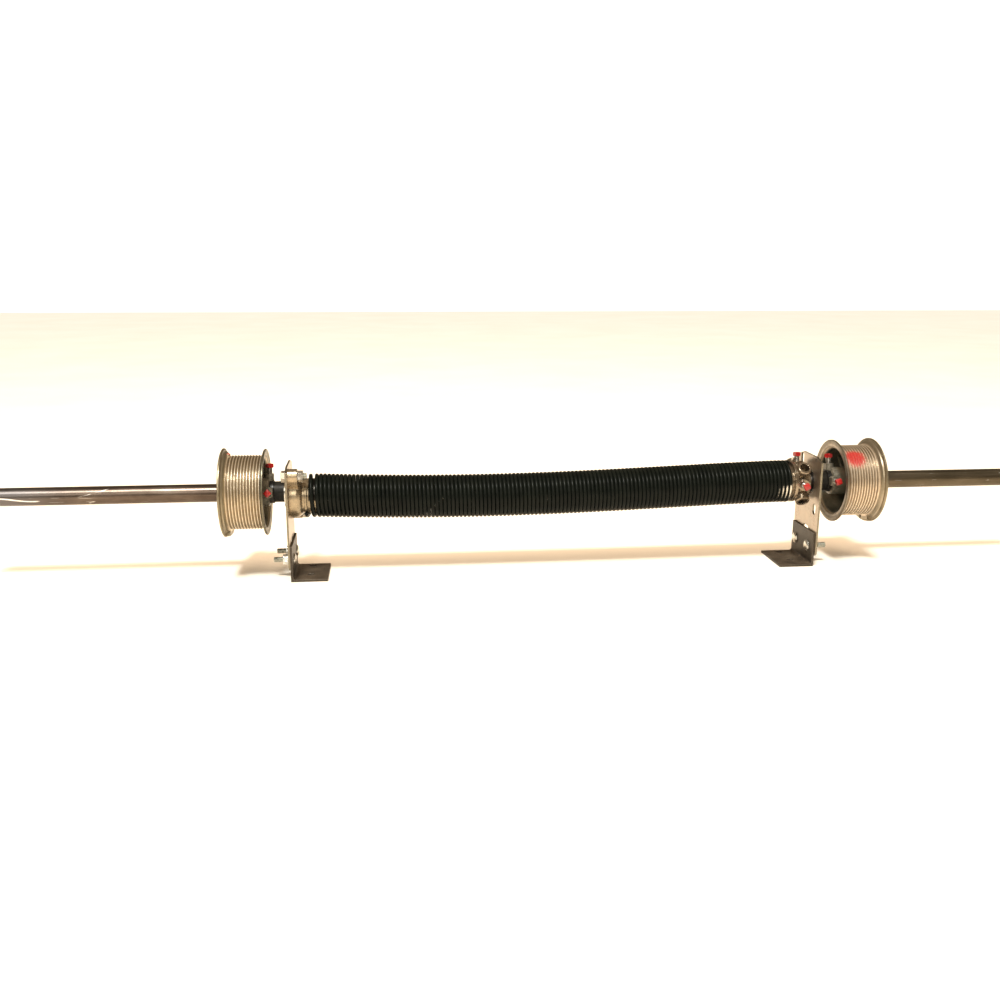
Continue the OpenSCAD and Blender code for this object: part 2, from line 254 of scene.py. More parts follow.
class Mat:
    """A node material on object coordinates."""

    def __init__(self, name):
        self.m = bpy.data.materials.new(name)
        self.m.use_nodes = True
        self.t = self.m.node_tree
        self.p = self.t.nodes["Principled BSDF"]
        self.co = self.t.nodes.new("ShaderNodeTexCoord").outputs["Object"]

    def node(self, kind, **props):
        n = self.t.nodes.new(kind)
        for k, v in props.items():
            setattr(n, k, v)
        return n

    def put(self, socket, value):
        if isinstance(value, bpy.types.NodeSocket):
            self.t.links.new(value, socket)
        elif value is not None:
            socket.default_value = value
        return socket

    def set(self, **kw):
        for k, v in kw.items():
            self.put(self.p.inputs[k.replace("_", " ")], v)

    def move(self, scale=(1, 1, 1), loc=(0, 0, 0), rot=(0, 0, 0), src=None):
        n = self.node("ShaderNodeMapping")
        self.put(n.inputs["Vector"], src or self.co)
        n.inputs["Scale"].default_value = scale
        n.inputs["Location"].default_value = loc
        n.inputs["Rotation"].default_value = rot
        return n.outputs[0]

    def noise(self, scale=50.0, detail=3.0, rough=0.55, src=None, stretch=None, distort=0.0, seed=None):
        n = self.node("ShaderNodeTexNoise")
        v = src or self.co
        if stretch or seed:
            v = self.move(scale=stretch or (1, 1, 1), loc=(seed or 0.0,) * 3, src=v)
        self.put(n.inputs["Vector"], v)
        n.inputs["Scale"].default_value = scale
        n.inputs["Detail"].default_value = detail
        n.inputs["Roughness"].default_value = rough
        n.inputs["Distortion"].default_value = distort
        return n.outputs["Fac"]

    def voronoi(self, scale=50.0, src=None, feature="F1"):
        n = self.node("ShaderNodeTexVoronoi", feature=feature)
        self.put(n.inputs["Vector"], src or self.co)
        n.inputs["Scale"].default_value = scale
        return n.outputs["Distance"]

    def ramp(self, fac, *stops, mode="LINEAR"):
        n = self.node("ShaderNodeValToRGB")
        n.color_ramp.interpolation = mode
        e = n.color_ramp.elements
        while len(e) < len(stops):
            e.new(0.5)
        for el, (pos, col) in zip(e, stops):
            el.position = pos
            col = (col,) * 3 if isinstance(col, (int, float)) else col
            el.color = tuple(col) + (1.0,)
        self.put(n.inputs[0], fac)
        return n.outputs[0]

    def math(self, op, a, b=None, c=None, clamp=False):
        n = self.node("ShaderNodeMath", operation=op, use_clamp=clamp)
        for s, v in zip(n.inputs, (a, b, c)):
            if v is not None:
                self.put(s, v)
        return n.outputs[0]

    def span(self, v, a, b, c=0.0, d=1.0, smooth=True):
        n = self.node("ShaderNodeMapRange", interpolation_type="SMOOTHSTEP" if smooth else "LINEAR")
        for s, x in zip(n.inputs[:5], (v, a, b, c, d)):
            self.put(s, x)
        return n.outputs[0]

    def mix(self, fac, a, b, blend="MIX"):
        n = self.node("ShaderNodeMix", data_type="RGBA", blend_type=blend, clamp_factor=True)
        self.put(n.inputs[0], fac)
        for s, v in ((n.inputs[6], a), (n.inputs[7], b)):
            if isinstance(v, (int, float)):
                v = (v,) * 3
            if isinstance(v, (tuple, list)) and len(v) == 3:
                v = tuple(v) + (1.0,)
            self.put(s, v)
        return n.outputs[2]

    def bump(self, height, strength=0.3, distance=0.0005, normal=None):
        n = self.node("ShaderNodeBump")
        n.inputs["Strength"].default_value = strength
        n.inputs["Distance"].default_value = distance
        self.put(n.inputs["Height"], height)
        if normal is not None:
            self.put(n.inputs["Normal"], normal)
        return n.outputs[0]

    def edge(self, radius=0.0006, samples=4):
        """Softened normal for crisp CAD edges."""
        n = self.node("ShaderNodeBevel", samples=samples)
        n.inputs["Radius"].default_value = radius
        return n.outputs[0]

    def wear(self, radius=0.0008, low=0.0, high=0.35):
        """About 1 near sharp edges, 0 on flats."""
        b = self.node("ShaderNodeBevel", samples=4)
        b.inputs["Radius"].default_value = radius
        g = self.node("ShaderNodeNewGeometry")
        d = self.node("ShaderNodeVectorMath", operation="DOT_PRODUCT")
        self.put(d.inputs[0], b.outputs[0])
        self.put(d.inputs[1], g.outputs["Normal"])
        v = self.math("SUBTRACT", 1.0, d.outputs["Value"])
        return self.span(v, low, high)

    def axes(self, src=None):
        n = self.node("ShaderNodeSeparateXYZ")
        self.put(n.inputs[0], src or self.co)
        return n.outputs

    def polar(self, x0=0.0, h=None):
        """(x, distance from the shaft's axis, turn about it in radians: 0 is up and pi/2 the front)."""
        x, y, z = self.axes()
        z = self.math("SUBTRACT", z, H if h is None else h)
        r = self.math("SQRT", self.math("ADD", self.math("MULTIPLY", y, y), self.math("MULTIPLY", z, z)))
        a = self.math("ARCTAN2", self.math("MULTIPLY", y, -1.0), z)
        return (self.math("SUBTRACT", x, x0) if x0 else x), r, a

    def near(self, centre, radius, soft, jag=0.0, scale=(1, 1, 1), noise_scale=300.0):
        """About 1 within radius of centre, with a ragged edge."""
        d = self.node("ShaderNodeVectorMath", operation="DISTANCE")
        v = self.move(scale=scale)
        self.put(d.inputs[0], v)
        d.inputs[1].default_value = tuple(c * s for c, s in zip(centre, scale))
        out = d.outputs["Value"]
        if jag:
            n = self.math("MULTIPLY", self.math("SUBTRACT", self.noise(noise_scale, 3), 0.5), 2 * jag)
            out = self.math("ADD", out, n)
        return self.span(out, radius - soft, radius + soft, 1.0, 0.0)


def cast_alloy(name, x_paint=None, tint=(0.62, 0.53, 0.38), dark=0.35, radius=0.0007, rough=(0.30, 0.5), inner=None, drum=False, mottle=0.5, flange_shade_tone=(0.155, 0.135, 0.108), tail=None):
    """Die-cast alloy with a warm tint: grainy skin, mottled tone, bright worn edges; on drums a painted highlight on
    the groove crests, painted shade in the grooves, on the inner flange and in the hollow inside; on the cone painted
    shade under the first coils.
    """
    M = Mat(name)
    big = M.noise(38, 4, 0.6)
    mid = M.noise(240, 4, 0.65)
    fine = M.noise(1500, 2, 0.6)
    base = M.ramp(big, (0.30, tuple(c * 0.72 for c in tint)), (0.55, tint), (0.78, tuple(min(c * 1.22, 1) for c in tint)))
    base = M.mix(M.span(mid, 0.52, 0.75, 0, mottle), base, tuple(c * dark for c in tint))
    if tail:
        # painted shade: the cone is darkened to near black under the first coils, where they shade it
        x, r, a = M.polar()
        base = M.mix(M.math("MULTIPLY", M.span(x, tail[0], tail[0] + 0.0012), M.span(r, 0.0255, 0.0262, 1.0, 0.0)), base, (0.012, 0.011, 0.009))
    worn = M.wear(0.0007, 0.02, 0.30)
    base = M.mix(M.math("MULTIPLY", worn, 0.5), base, (0.82, 0.76, 0.64))
    if inner:
        x, r, a = M.polar()
        lo, hi, r_in, r_out, col = inner
        # painted shade: the hollow inside the drum is darkened and dulled where shade falls in it
        hollow_shade = M.span(r, r_in, r_out, 1.0, 0.0)
        base = M.mix(M.math("MULTIPLY", hollow_shade, M.span(big, 0.3, 0.7, 0.95, 0.8)), base, col)
        dull = M.math("MULTIPLY", hollow_shade, 0.55)
    if drum is not False:
        outer, sign = drum                  # outer face, direction towards the hub's open end
        x, r, a = M.polar()
        u = M.math("MULTIPLY", M.math("SUBTRACT", x, outer), float(sign))
        crest = M.math("MULTIPLY", M.span(r, 0.0514, 0.0520), M.span(r, 0.0526, 0.0531, 1.0, 0.0))
        # painted shade: the groove bottoms are darkened where shade falls in the grooves
        groove_shade = M.math("MULTIPLY", M.span(r, 0.0508, 0.0517, 1.0, 0.0), M.span(r, 0.0495, 0.0505))
        base = M.mix(M.math("MULTIPLY", groove_shade, 0.9), base, (0.13, 0.090, 0.050))
        # painted highlight: the groove crests are lightened where the lamps catch them
        base = M.mix(M.math("MULTIPLY", crest, M.span(mid, 0.35, 0.6, 0.9, 0.5)), base, (0.92, 0.83, 0.68))
        rim = M.span(r, 0.0532, 0.0550)
        far = M.span(u, 0.0558, 0.0572)
        base = M.mix(M.math("MULTIPLY", rim, M.span(big, 0.3, 0.7, 0.6, 0.95)), base, (0.205, 0.178, 0.120))
        # painted shade: the inner flange face is darkened as if turned away from the key light
        ring = M.math("MULTIPLY", far, M.span(r, 0.0490, 0.0505))
        base = M.mix(M.math("MULTIPLY", ring, M.span(big, 0.25, 0.7, 0.92, 0.6)), base, flange_shade_tone)
        edge_line = M.math("MULTIPLY", M.math("MAXIMUM", M.span(r, 0.0606, 0.0616), far), worn)
        base = M.mix(M.math("MULTIPLY", edge_line, 0.55), base, (0.80, 0.72, 0.58))
        base = M.mix(M.math("MULTIPLY", M.span(r, 0.0608, 0.0618), 0.55), base, (0.20, 0.175, 0.115))
        hub = M.math("MULTIPLY", M.span(r, 0.0262, 0.0285, 1.0, 0.0), M.span(u, 0.0520, 0.0560))
        base = M.mix(M.math("MULTIPLY", hub, 0.8), base, M.ramp(mid, (0.35, (0.085, 0.085, 0.068)), (0.65, (0.21, 0.20, 0.165))))
        collar = M.math("MULTIPLY", M.span(r, 0.0166, 0.0172, 1.0, 0.0), M.span(u, 0.0632, 0.0642))
        base = M.mix(collar, base, (0.010, 0.010, 0.009))
    metal = M.math("SUBTRACT", 1.0, dull) if inner else None
    if x_paint:
        for centre, rad, soft, jag, col in x_paint:
            spot = M.near(centre, rad, soft, jag)
            thin = M.math("MULTIPLY", spot, M.span(M.noise(900, 3, 0.7), 0.30, 0.62, 0.84, 1.0))
            base = M.mix(thin, base, col)
            metal = M.math("SUBTRACT", metal, thin, clamp=True) if metal is not None else M.math("SUBTRACT", 1.0, thin, clamp=True)
    M.set(Base_Color=base, Roughness=M.span(mid, 0.3, 0.75, rough[0], rough[1]), Metallic=M.math("MULTIPLY", metal, 0.86) if metal is not None else 0.86)
    M.p.inputs["Specular IOR Level"].default_value = 0.5
    h = M.math("ADD", M.math("MULTIPLY", mid, 0.6), M.math("MULTIPLY", fine, 0.4))
    M.set(Normal=M.bump(h, 0.45, 0.0002, M.edge(radius)))
    return M.m


def bare_shaft():
    """Mill-finish tube: brown-grey oxide, drawn streaks, a few scratches, a bluish bright end, a darker olive right
    end that is mostly painted reflection and partly the tube's own tone, and a chalk-like squiggle.
    """
    M = Mat("bare_shaft")
    x, r, a = M.polar()
    along = M.noise(900, 3, 0.6, stretch=(0.012, 1, 1))
    blot = M.noise(28, 5, 0.62, stretch=(0.5, 1, 1))
    spot = M.noise(420, 3, 0.6, stretch=(0.25, 1, 1))
    base = M.ramp(blot, (0.28, (0.050, 0.036, 0.027)), (0.5, (0.092, 0.069, 0.055)), (0.75, (0.150, 0.120, 0.098)))
    # darker olive right end: mostly painted reflection of dim surroundings, partly the tube's own tone
    right = M.span(x, 0.44, 0.56)
    base = M.mix(right, base, M.ramp(blot, (0.3, (0.075, 0.060, 0.038)), (0.7, (0.125, 0.102, 0.068))))
    left = M.span(x, -0.735, -0.60, 1.0, 0.0)
    base = M.mix(M.math("MULTIPLY", left, 0.7), base, (0.15, 0.147, 0.155))
    base = M.mix(M.span(along, 0.55, 0.8, 0, 0.45), base, (0.30, 0.25, 0.20))
    base = M.mix(M.span(spot, 0.62, 0.74, 0, 0.7), base, (0.08, 0.055, 0.04))
    # thin scratches that wander along the tube
    s = M.voronoi(70, M.move(scale=(0.06, 1, 1), rot=(0.0, 0.12, 0.3)), "DISTANCE_TO_EDGE")
    scratch = M.math("MULTIPLY", M.span(s, 0.0, 0.012, 1.0, 0.0), M.span(M.noise(55, 2), 0.55, 0.68))
    base = M.mix(M.math("MULTIPLY", scratch, 0.7), base, (0.75, 0.72, 0.68))
    # a pale wavy mark at the front of the left end
    wave = M.math("MULTIPLY", M.math("SINE", M.math("MULTIPLY", M.math("ADD", x, 0.70), 62.0)), 0.20)
    line = M.math("ABSOLUTE", M.math("SUBTRACT", a, M.math("ADD", wave, 1.72)))
    mark = M.math("MULTIPLY", M.span(line, 0.035, 0.11, 1.0, 0.0), M.math("MULTIPLY", M.span(x, -0.729, -0.72), M.span(x, -0.672, -0.665, 1.0, 0.0)))
    mark = M.math("MULTIPLY", mark, M.span(M.noise(700, 2), 0.25, 0.5, 0.45, 1.0))
    base = M.mix(mark, base, (0.88, 0.87, 0.85))
    M.set(Base_Color=base, Metallic=M.math("SUBTRACT", 0.92, M.math("MULTIPLY", mark, 0.8)), Roughness=M.math("ADD", M.span(along, 0.3, 0.8, 0.26, 0.44), M.math("MULTIPLY", right, 0.10)))
    M.set(Normal=M.bump(along, 0.18, 0.00015))
    return M.m


def black_wire():
    """Black coated spring wire, with a bright patch low on the front of the last coils."""
    M = Mat("black_wire")
    x, r, a = M.polar()
    base = M.ramp(M.noise(60, 4, 0.6), (0.3, (0.0024, 0.0036, 0.0030)), (0.7, (0.0056, 0.0074, 0.0060)))
    dust = M.span(M.noise(1100, 3, 0.6), 0.64, 0.78, 0, 0.5)
    base = M.mix(dust, base, (0.07, 0.075, 0.06))
    # bright patch, low on the front of the last coils
    d = M.math("ABSOLUTE", M.math("SUBTRACT", a, 1.98))
    turnwise = M.span(d, 0.18, 0.62, 1.0, 0.0)
    edge = M.math("SUBTRACT", 0.360, M.math("MULTIPLY", M.math("SUBTRACT", M.noise(90, 2), 0.5), 0.01))
    lengthwise = M.math("POWER", M.span(x, edge, 0.398, 0.0, 1.0, smooth=False), 1.2)
    crest = M.span(r, 0.0304, 0.03095)
    low_front_patch = M.math("MULTIPLY", M.math("MULTIPLY", turnwise, lengthwise), crest)
    low_front_patch = M.span(M.math("ADD", low_front_patch, M.math("MULTIPLY", M.math("SUBTRACT", M.noise(420, 3), 0.5), 0.35)), 0.16, 0.46)
    base = M.mix(low_front_patch, base, (0.66, 0.62, 0.53))
    fleck = M.near((0.322, -0.0225, H - 0.0172), 0.0016, 0.0004, 0.0008, scale=(1, 1, 0.6), noise_scale=900)
    base = M.mix(fleck, base, (0.8, 0.8, 0.74))
    M.set(Base_Color=base, Metallic=M.math("MULTIPLY", low_front_patch, 0.55), Roughness=M.span(M.noise(300, 3), 0.3, 0.7, 0.26, 0.40))
    M.p.inputs["Specular IOR Level"].default_value = 0.09
    M.set(Normal=M.bump(M.noise(1300, 3, 0.6), 0.12, 0.0002))
    return M.m


def galvanised(name):
    """Smooth zinc-coated sheet: faint spangle, drawn lines, hairline scratches, pale worn edges, and cut edges
    darkened as a painted dark reflection.
    """
    M = Mat(name)
    cells = M.voronoi(95)
    blot = M.noise(26, 4, 0.6)
    lines = M.noise(800, 2, 0.5, stretch=(1, 0.05, 1))
    base = M.ramp(blot, (0.3, (0.30, 0.25, 0.20)), (0.55, (0.42, 0.355, 0.285)), (0.75, (0.52, 0.45, 0.37)))
    base = M.mix(M.span(cells, 0.2, 0.8, 0, 0.25), base, (0.33, 0.31, 0.27))
    s = M.voronoi(46, M.move(scale=(1, 0.22, 1), rot=(0.75, 0, 0)), "DISTANCE_TO_EDGE")
    scratch = M.math("MULTIPLY", M.span(s, 0.0, 0.010, 1.0, 0.0), M.span(M.noise(60, 2), 0.5, 0.62))
    base = M.mix(M.math("MULTIPLY", scratch, 0.6), base, (0.35, 0.30, 0.24))
    edge = M.wear(0.0006, 0.02, 0.3)
    base = M.mix(M.math("MULTIPLY", edge, 0.8), base, (0.80, 0.76, 0.66))
    g = M.node("ShaderNodeNewGeometry")
    nx = M.axes(g.outputs["True Normal"])[0]
    # painted reflection: the cut edges, facing across X, are darkened as if mirroring a dim room in front
    cut_edge_reflection = M.span(M.math("ABSOLUTE", nx), 0.4, 0.7, 1.0, 0.0)
    base = M.mix(M.math("MULTIPLY", cut_edge_reflection, 0.85), base, M.ramp(lines, (0.35, (0.13, 0.12, 0.085)), (0.65, (0.23, 0.215, 0.16))))
    M.set(Base_Color=base, Metallic=0.93, Roughness=M.math("ADD", M.span(blot, 0.3, 0.75, 0.24, 0.38), M.math("MULTIPLY", scratch, 0.2)))
    M.set(Normal=M.bump(M.math("ADD", M.math("MULTIPLY", cells, 0.3), lines), 0.06, 0.0002, M.edge(0.0005)))
    return M.m


def mill_scale():
    """Dark hot-rolled angle: brown-black scale, grey rubbed centre, bright cut edges, specks of rust, and upright
    faces darkened as painted shade.
    """
    M = Mat("mill_scale")
    blot = M.noise(45, 5, 0.65)
    fine = M.noise(600, 4, 0.6)
    base = M.ramp(blot, (0.25, (0.040, 0.031, 0.022)), (0.5, (0.078, 0.061, 0.043)), (0.72, (0.150, 0.120, 0.088)))
    base = M.mix(M.span(fine, 0.55, 0.75, 0, 0.45), base, (0.17, 0.145, 0.12))
    base = M.mix(M.span(M.noise(130, 3, 0.6, seed=4.0), 0.62, 0.75, 0, 0.55), base, (0.13, 0.062, 0.028))
    g = M.node("ShaderNodeNewGeometry")
    nz = M.axes(g.outputs["True Normal"])[2]
    # painted shade: upright faces are darkened against the lit top
    upright_shade = M.span(M.math("ABSOLUTE", nz), 0.4, 0.7, 1.0, 0.0)
    base = M.mix(M.math("MULTIPLY", upright_shade, 0.75), base, M.ramp(fine, (0.35, (0.020, 0.018, 0.013)), (0.65, (0.055, 0.048, 0.037))))
    base = M.mix(M.span(M.noise(85, 4, 0.65, seed=9.0), 0.50, 0.72, 0, 0.6), base, (0.018, 0.014, 0.011))
    edge = M.wear(0.0007, 0.02, 0.3)
    base = M.mix(M.math("MULTIPLY", edge, 0.6), base, (0.30, 0.27, 0.23))
    M.set(Base_Color=base, Metallic=0.45, Roughness=M.span(fine, 0.3, 0.75, 0.34, 0.6))
    h = M.math("ADD", M.math("MULTIPLY", blot, 0.5), M.math("MULTIPLY", fine, 0.5))
    M.set(Normal=M.bump(h, 0.30, 0.0003, M.edge(0.0007)))
    return M.m


def zinc(name, tint=(0.70, 0.68, 0.62), rough=(0.2, 0.42)):
    M = Mat(name)
    blot = M.noise(180, 4, 0.6)
    fine = M.noise(1600, 2, 0.6)
    base = M.ramp(blot, (0.3, tuple(c * 0.55 for c in tint)), (0.6, tint), (0.8, tuple(min(1, c * 1.2) for c in tint)))
    edge = M.wear(0.0004, 0.03, 0.3)
    base = M.mix(edge, base, (0.92, 0.90, 0.84))
    M.set(Base_Color=base, Metallic=0.9, Roughness=M.span(blot, 0.3, 0.75, rough[0], rough[1]))
    M.set(Normal=M.bump(fine, 0.18, 0.00015, M.edge(0.0003)))
    return M.m


def red_paint():
    """Dipped red paint on a steel head: chips along the edges, uneven gloss."""
    M = Mat("red_paint")
    blot = M.noise(260, 4, 0.6)
    base = M.ramp(blot, (0.3, (0.20, 0.006, 0.007)), (0.6, (0.35, 0.012, 0.012)), (0.8, (0.48, 0.032, 0.026)))
    edge = M.wear(0.0006, 0.03, 0.35)
    chip = M.span(M.math("ADD", M.math("MULTIPLY", edge, 0.55), M.math("MULTIPLY", M.noise(750, 4, 0.65), 0.55)), 0.50, 0.62)
    base = M.mix(chip, base, (0.42, 0.25, 0.21))
    M.set(Base_Color=base, Metallic=M.math("MULTIPLY", chip, 0.6), Roughness=M.span(blot, 0.3, 0.7, 0.28, 0.48))
    M.p.inputs["Coat Weight"].default_value = 0.25
    M.p.inputs["Coat Roughness"].default_value = 0.25
    M.set(Normal=M.bump(M.noise(900, 3), 0.25, 0.0002, M.edge(0.0004)))
    return M.m


def black_sleeve():
    M = Mat("black_sleeve")
    x, r, a = M.polar()
    lines = M.noise(1400, 2, 0.5, stretch=(1, 0.03, 0.03))
    base = M.ramp(M.noise(90, 3), (0.3, (0.006, 0.006, 0.0055)), (0.75, (0.016, 0.016, 0.014)))
    grease = M.span(M.noise(55, 4, 0.6), 0.52, 0.7)
    base = M.mix(M.math("MULTIPLY", grease, 0.35), base, (0.045, 0.042, 0.035))
    M.set(Base_Color=base, Roughness=M.math("ADD", M.span(lines, 0.3, 0.8, 0.30, 0.42), M.math("MULTIPLY", grease, 0.12)))
    M.p.inputs["Specular IOR Level"].default_value = 0.12
    M.set(Normal=M.bump(lines, 0.10, 0.0001, M.edge(0.0004)))
    return M.m


def bearing_steel():
    M = Mat("bearing_steel")
    lines = M.noise(1200, 2, 0.5, stretch=(1, 0.04, 0.04))
    base = M.ramp(M.noise(70, 4), (0.3, (0.36, 0.34, 0.30)), (0.7, (0.62, 0.60, 0.55)))
    base = M.mix(M.span(M.noise(400, 3), 0.60, 0.72, 0, 0.6), base, (0.16, 0.12, 0.09))
    M.set(Base_Color=base, Metallic=0.95, Roughness=M.span(lines, 0.3, 0.8, 0.18, 0.34))
    M.set(Normal=M.bump(lines, 0.10, 0.0001, M.edge(0.0004)))
    return M.m


def give(node, *mats):
    """Assigns materials to a CAD node's slots."""
    ob = frame["nodes"][node]
    for i in range(max(len(ob.data.materials), 1)):
        if i < len(ob.data.materials):
            ob.data.materials[i] = mats[0]
        else:
            ob.data.materials.append(mats[0])


# ----------------------------------------------------------- CAD node looks
left_drum_lo, left_drum_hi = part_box("left_cable_drum")
right_drum_lo, right_drum_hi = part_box("right_cable_drum")
CREST = 0.0522


def on_drum(x, turn, r=CREST):
    """A point on a drum at x, turned from up towards the front by turn degrees."""
    return (x, -r * math.sin(math.radians(turn)), H + r * math.cos(math.radians(turn)))


paint_red = (0.78, 0.045, 0.030)
steel_shaft = bare_shaft()
wire = black_wire()
sheet_left, sheet_right = galvanised("sheet_left"), galvanised("sheet_right")
scale_steel = mill_scale()
zinc_bright = zinc("zinc_bright", (0.78, 0.77, 0.71), (0.16, 0.32))
zinc_head = zinc("zinc_head", (0.48, 0.42, 0.34), (0.26, 0.42))
zinc_green = zinc("zinc_thread", (0.46, 0.48, 0.42), (0.24, 0.42))
screw_steel = zinc("screw_steel", (0.40, 0.38, 0.34), (0.25, 0.45))
red = red_paint()
sleeve_black = black_sleeve()
bearing = bearing_steel()
# painted shade colour for the hollow inside the drums
inside_shade_tone = (0.080, 0.088, 0.066)
left_drum_mat = cast_alloy(
    "cast_left_drum",
    x_paint=[(on_drum(left_drum_lo.x + 0.0100, 3, 0.0545), 0.0030, 0.0008, 0.0014, (0.42, 0.08, 0.07))],
    # painted shade on the inner flange, darker on this drum
    drum=(left_drum_lo.x, 1), flange_shade_tone=(0.070, 0.070, 0.048),
    inner=(0, 0, 0.0478, 0.0492, inside_shade_tone))
right_drum_mat = cast_alloy(
    "cast_right_drum",
    x_paint=[(on_drum(right_drum_hi.x - 0.0402, 38.5), 0.0150, 0.0055, 0.0065, (0.30, 0.004, 0.004))],
    drum=(right_drum_hi.x, -1),
    tint=(0.68, 0.57, 0.44),
    inner=(0, 0, 0.0478, 0.0492, inside_shade_tone))
# tail paints shade on the cone under the first coils
cone_mat = cast_alloy("cast_cone", tint=(0.345, 0.285, 0.195), dark=0.35, radius=0.0011, rough=(0.24, 0.36), mottle=0.28, tail=(-0.3045,))
winding_mat = cast_alloy("cast_winding_cone", tint=(0.275, 0.225, 0.165), dark=0.3, radius=0.0011, rough=(0.17, 0.32), mottle=0.3)

give("shaft", steel_shaft)
give("winding_cone", winding_mat)
give("stationary_cone", cone_mat)
give("left_bearing_plate", sheet_left)
give("right_bearing_plate", sheet_right)
for side in ("left", "right"):
    give(side + "_bearing_race", bearing)
    give(side + "_bearing_balls", bearing)
    give(side + "_bearing_sleeve", sleeve_black)
    give(side + "_foot", scale_steel)
    give(side + "_carriage_bolts", zinc_bright)
    give(side + "_flange_nuts", zinc_bright)
give("left_cable_drum", left_drum_mat)
give("right_cable_drum", right_drum_mat)

# ------------------------------------------------------------------- spring
spring_lo, spring_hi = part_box("torsion_spring")
WIRE_R = 2.83 * MM
COIL_R = 28.24 * MM
FIRST, OPEN, TAIL = -0.301, 0.0084, 0.0055
LAST = spring_hi.x - WIRE_R                 # the last coil's top
plate_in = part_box("left_foot")[0].x


def sag(x):
    u = (min(max(x * 1000, -285), 378) - 48) / 350
    return (-10.1 + 7.8 * u + 9.71 * u**2 - 4.6 * u**3 - 2.02 * u**4) * MM


def spring():
    closed = round((LAST - FIRST - OPEN) / (5.72 * MM))
    pitch = (LAST - FIRST - OPEN) / closed
    turns = closed + 1

    def x_of(h):
        if h < 0:
            return FIRST + h * TAIL
        if h < 2:
            return FIRST + h * OPEN / 2
        return FIRST + OPEN + (h - 2) * pitch / 2

    hs = np.concatenate(([-1.22], np.arange(-29 / 24, 2 * turns + 1e-9, 1 / 24)))

    def centre(h):
        x = x_of(h)
        t = math.pi * h
        return np.array([x, -COIL_R * math.sin(t), H + sag(x) + COIL_R * math.cos(t)])

    pts = np.array([centre(h) for h in hs])
    tan = np.gradient(pts, axis=0)
    tan[0], tan[-1] = pts[1] - pts[0], pts[-1] - pts[-2]
    tan /= np.linalg.norm(tan, axis=1)[:, None]
    mid = np.array([[x_of(h), 0, H + sag(x_of(h))] for h in hs])
    out = pts - mid
    out -= (out * tan).sum(1)[:, None] * tan
    out /= np.linalg.norm(out, axis=1)[:, None]
    side = np.cross(tan, out)
    sides = 15
    ang = np.linspace(0, 2 * math.pi, sides, endpoint=False)
    ring = (np.cos(ang)[None, :, None] * out[:, None] + np.sin(ang)[None, :, None] * side[:, None]) * WIRE_R
    verts = (pts[:, None] + ring).reshape(-1, 3)
    faces = grid_faces(len(hs), sides)
    # flat cut ends with a small chamfer
    verts = list(map(tuple, verts))
    for end, flip in ((0, False), (len(hs) - 1, True)):
        step = tan[end] * (-0.0004 if end == 0 else 0.0004)
        base = len(verts)
        for j in range(sides):
            verts.append(tuple(pts[end] + step + ring[end, j] * 0.86))
        verts.append(tuple(pts[end] + step))
        for j in range(sides):
            k = (j + 1) % sides
            a, b = end * sides + j, end * sides + k
            q = (b, a, base + j, base + k)
            t3 = (base + k, base + j, base + sides)
            faces.append(q[::-1] if flip else q)
            faces.append(t3[::-1] if flip else t3)
    ob = mesh_piece("spring_wire", verts, faces, 180, [wire])
    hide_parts("torsion_spring")
    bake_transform(ob)
    return ob


spring()

# -------------------------------------------------------------- set screws


def set_screws(node, spins):
    b = Build()
    for pts, spin in zip(islands(node), spins):
        c = pts.mean(0)
        x = (pts[:, 0].min() + pts[:, 0].max()) / 2
        rad = np.hypot(pts[:, 1], pts[:, 2] - H)
        top, tip = rad.max(), rad.min()
        d = Vector((0, c[1], c[2] - H)).normalized()
        along = (pts[:, 1] * d.y + (pts[:, 2] - H) * d.z)
        top, tip = along.max(), along.min()
        head = top - 6.2 * MM
        place = aim((x, 0, H), d, 0.0)
        # turn the square so that its sides lie as the CAD's do
        flat = place.to_3x3() @ Vector((1, 0, 0))
        turn = math.atan2(flat.cross(Vector((1, 0, 0))).dot(d), flat.dot(Vector((1, 0, 0))))
        place = place @ Matrix.Rotation(turn + math.radians(spin + 45), 4, "Z")
        v, f = thread(3.95 * MM, 0.7 * MM, 1.588 * MM, -head, -(tip + 0.0001), segs=28, per=8)
        b.add(v, f, 1, place @ Matrix.Rotation(math.pi, 4, "X"))
        v, f = lathe([(0, head - 0.0004), (3.98 * MM, head - 0.0004), (3.98 * MM, head + 0.0001), (0, head + 0.0001)], 28)
        b.add(v, f, 1, place)
        v, f = prism_nut(8.1 * MM, head, top, sides=4, turn=0, round_to=0.98, slope=0.55, segs_side=8)
        b.add(v, f, 0, place)
        # slightly domed crown with a raised point of thick paint
        v, f = lathe([(0, top - 0.0006), (3.7 * MM, top - 0.0003), (3.2 * MM, top + 0.00005), (2.2 * MM, top + 0.00015), (0, top + 0.0002)], 28)
        b.add(v, f, 0, place)
    ob = b.done(node + "_fine", [red, screw_steel])
    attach(ob, SHAFT)
    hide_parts(node)
    return ob


set_screws("winding_cone_set_screws", (28, 8))
set_screws("left_drum_set_screws", (43, 38))
set_screws("right_drum_set_screws", (18, 30))



def drum_stop():
    """Small rounded lug at the first groove of the left drum, daubed with paint."""
    x0 = left_drum_lo.x + 0.0098
    b = Build()
    prof = [(0, 0.0512), (2.6 * MM, 0.0512), (2.6 * MM, 0.0548), (2.2 * MM, 0.0557), (1.3 * MM, 0.0562), (0, 0.0563)]
    v, f = lathe(prof, 32)
    turn = math.radians(3)
    d = Vector((0, -math.sin(turn), math.cos(turn)))
    b.add([(p[0] * 1.15, p[1] * 1.5, p[2]) for p in v], f, 0, aim((x0, 0, H), d))
    ob = b.done("left_drum_stop", [left_drum_mat], 50)
    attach(ob, SHAFT)
    return ob


drum_stop()

# ----------------------------------------------------- bolts and nuts


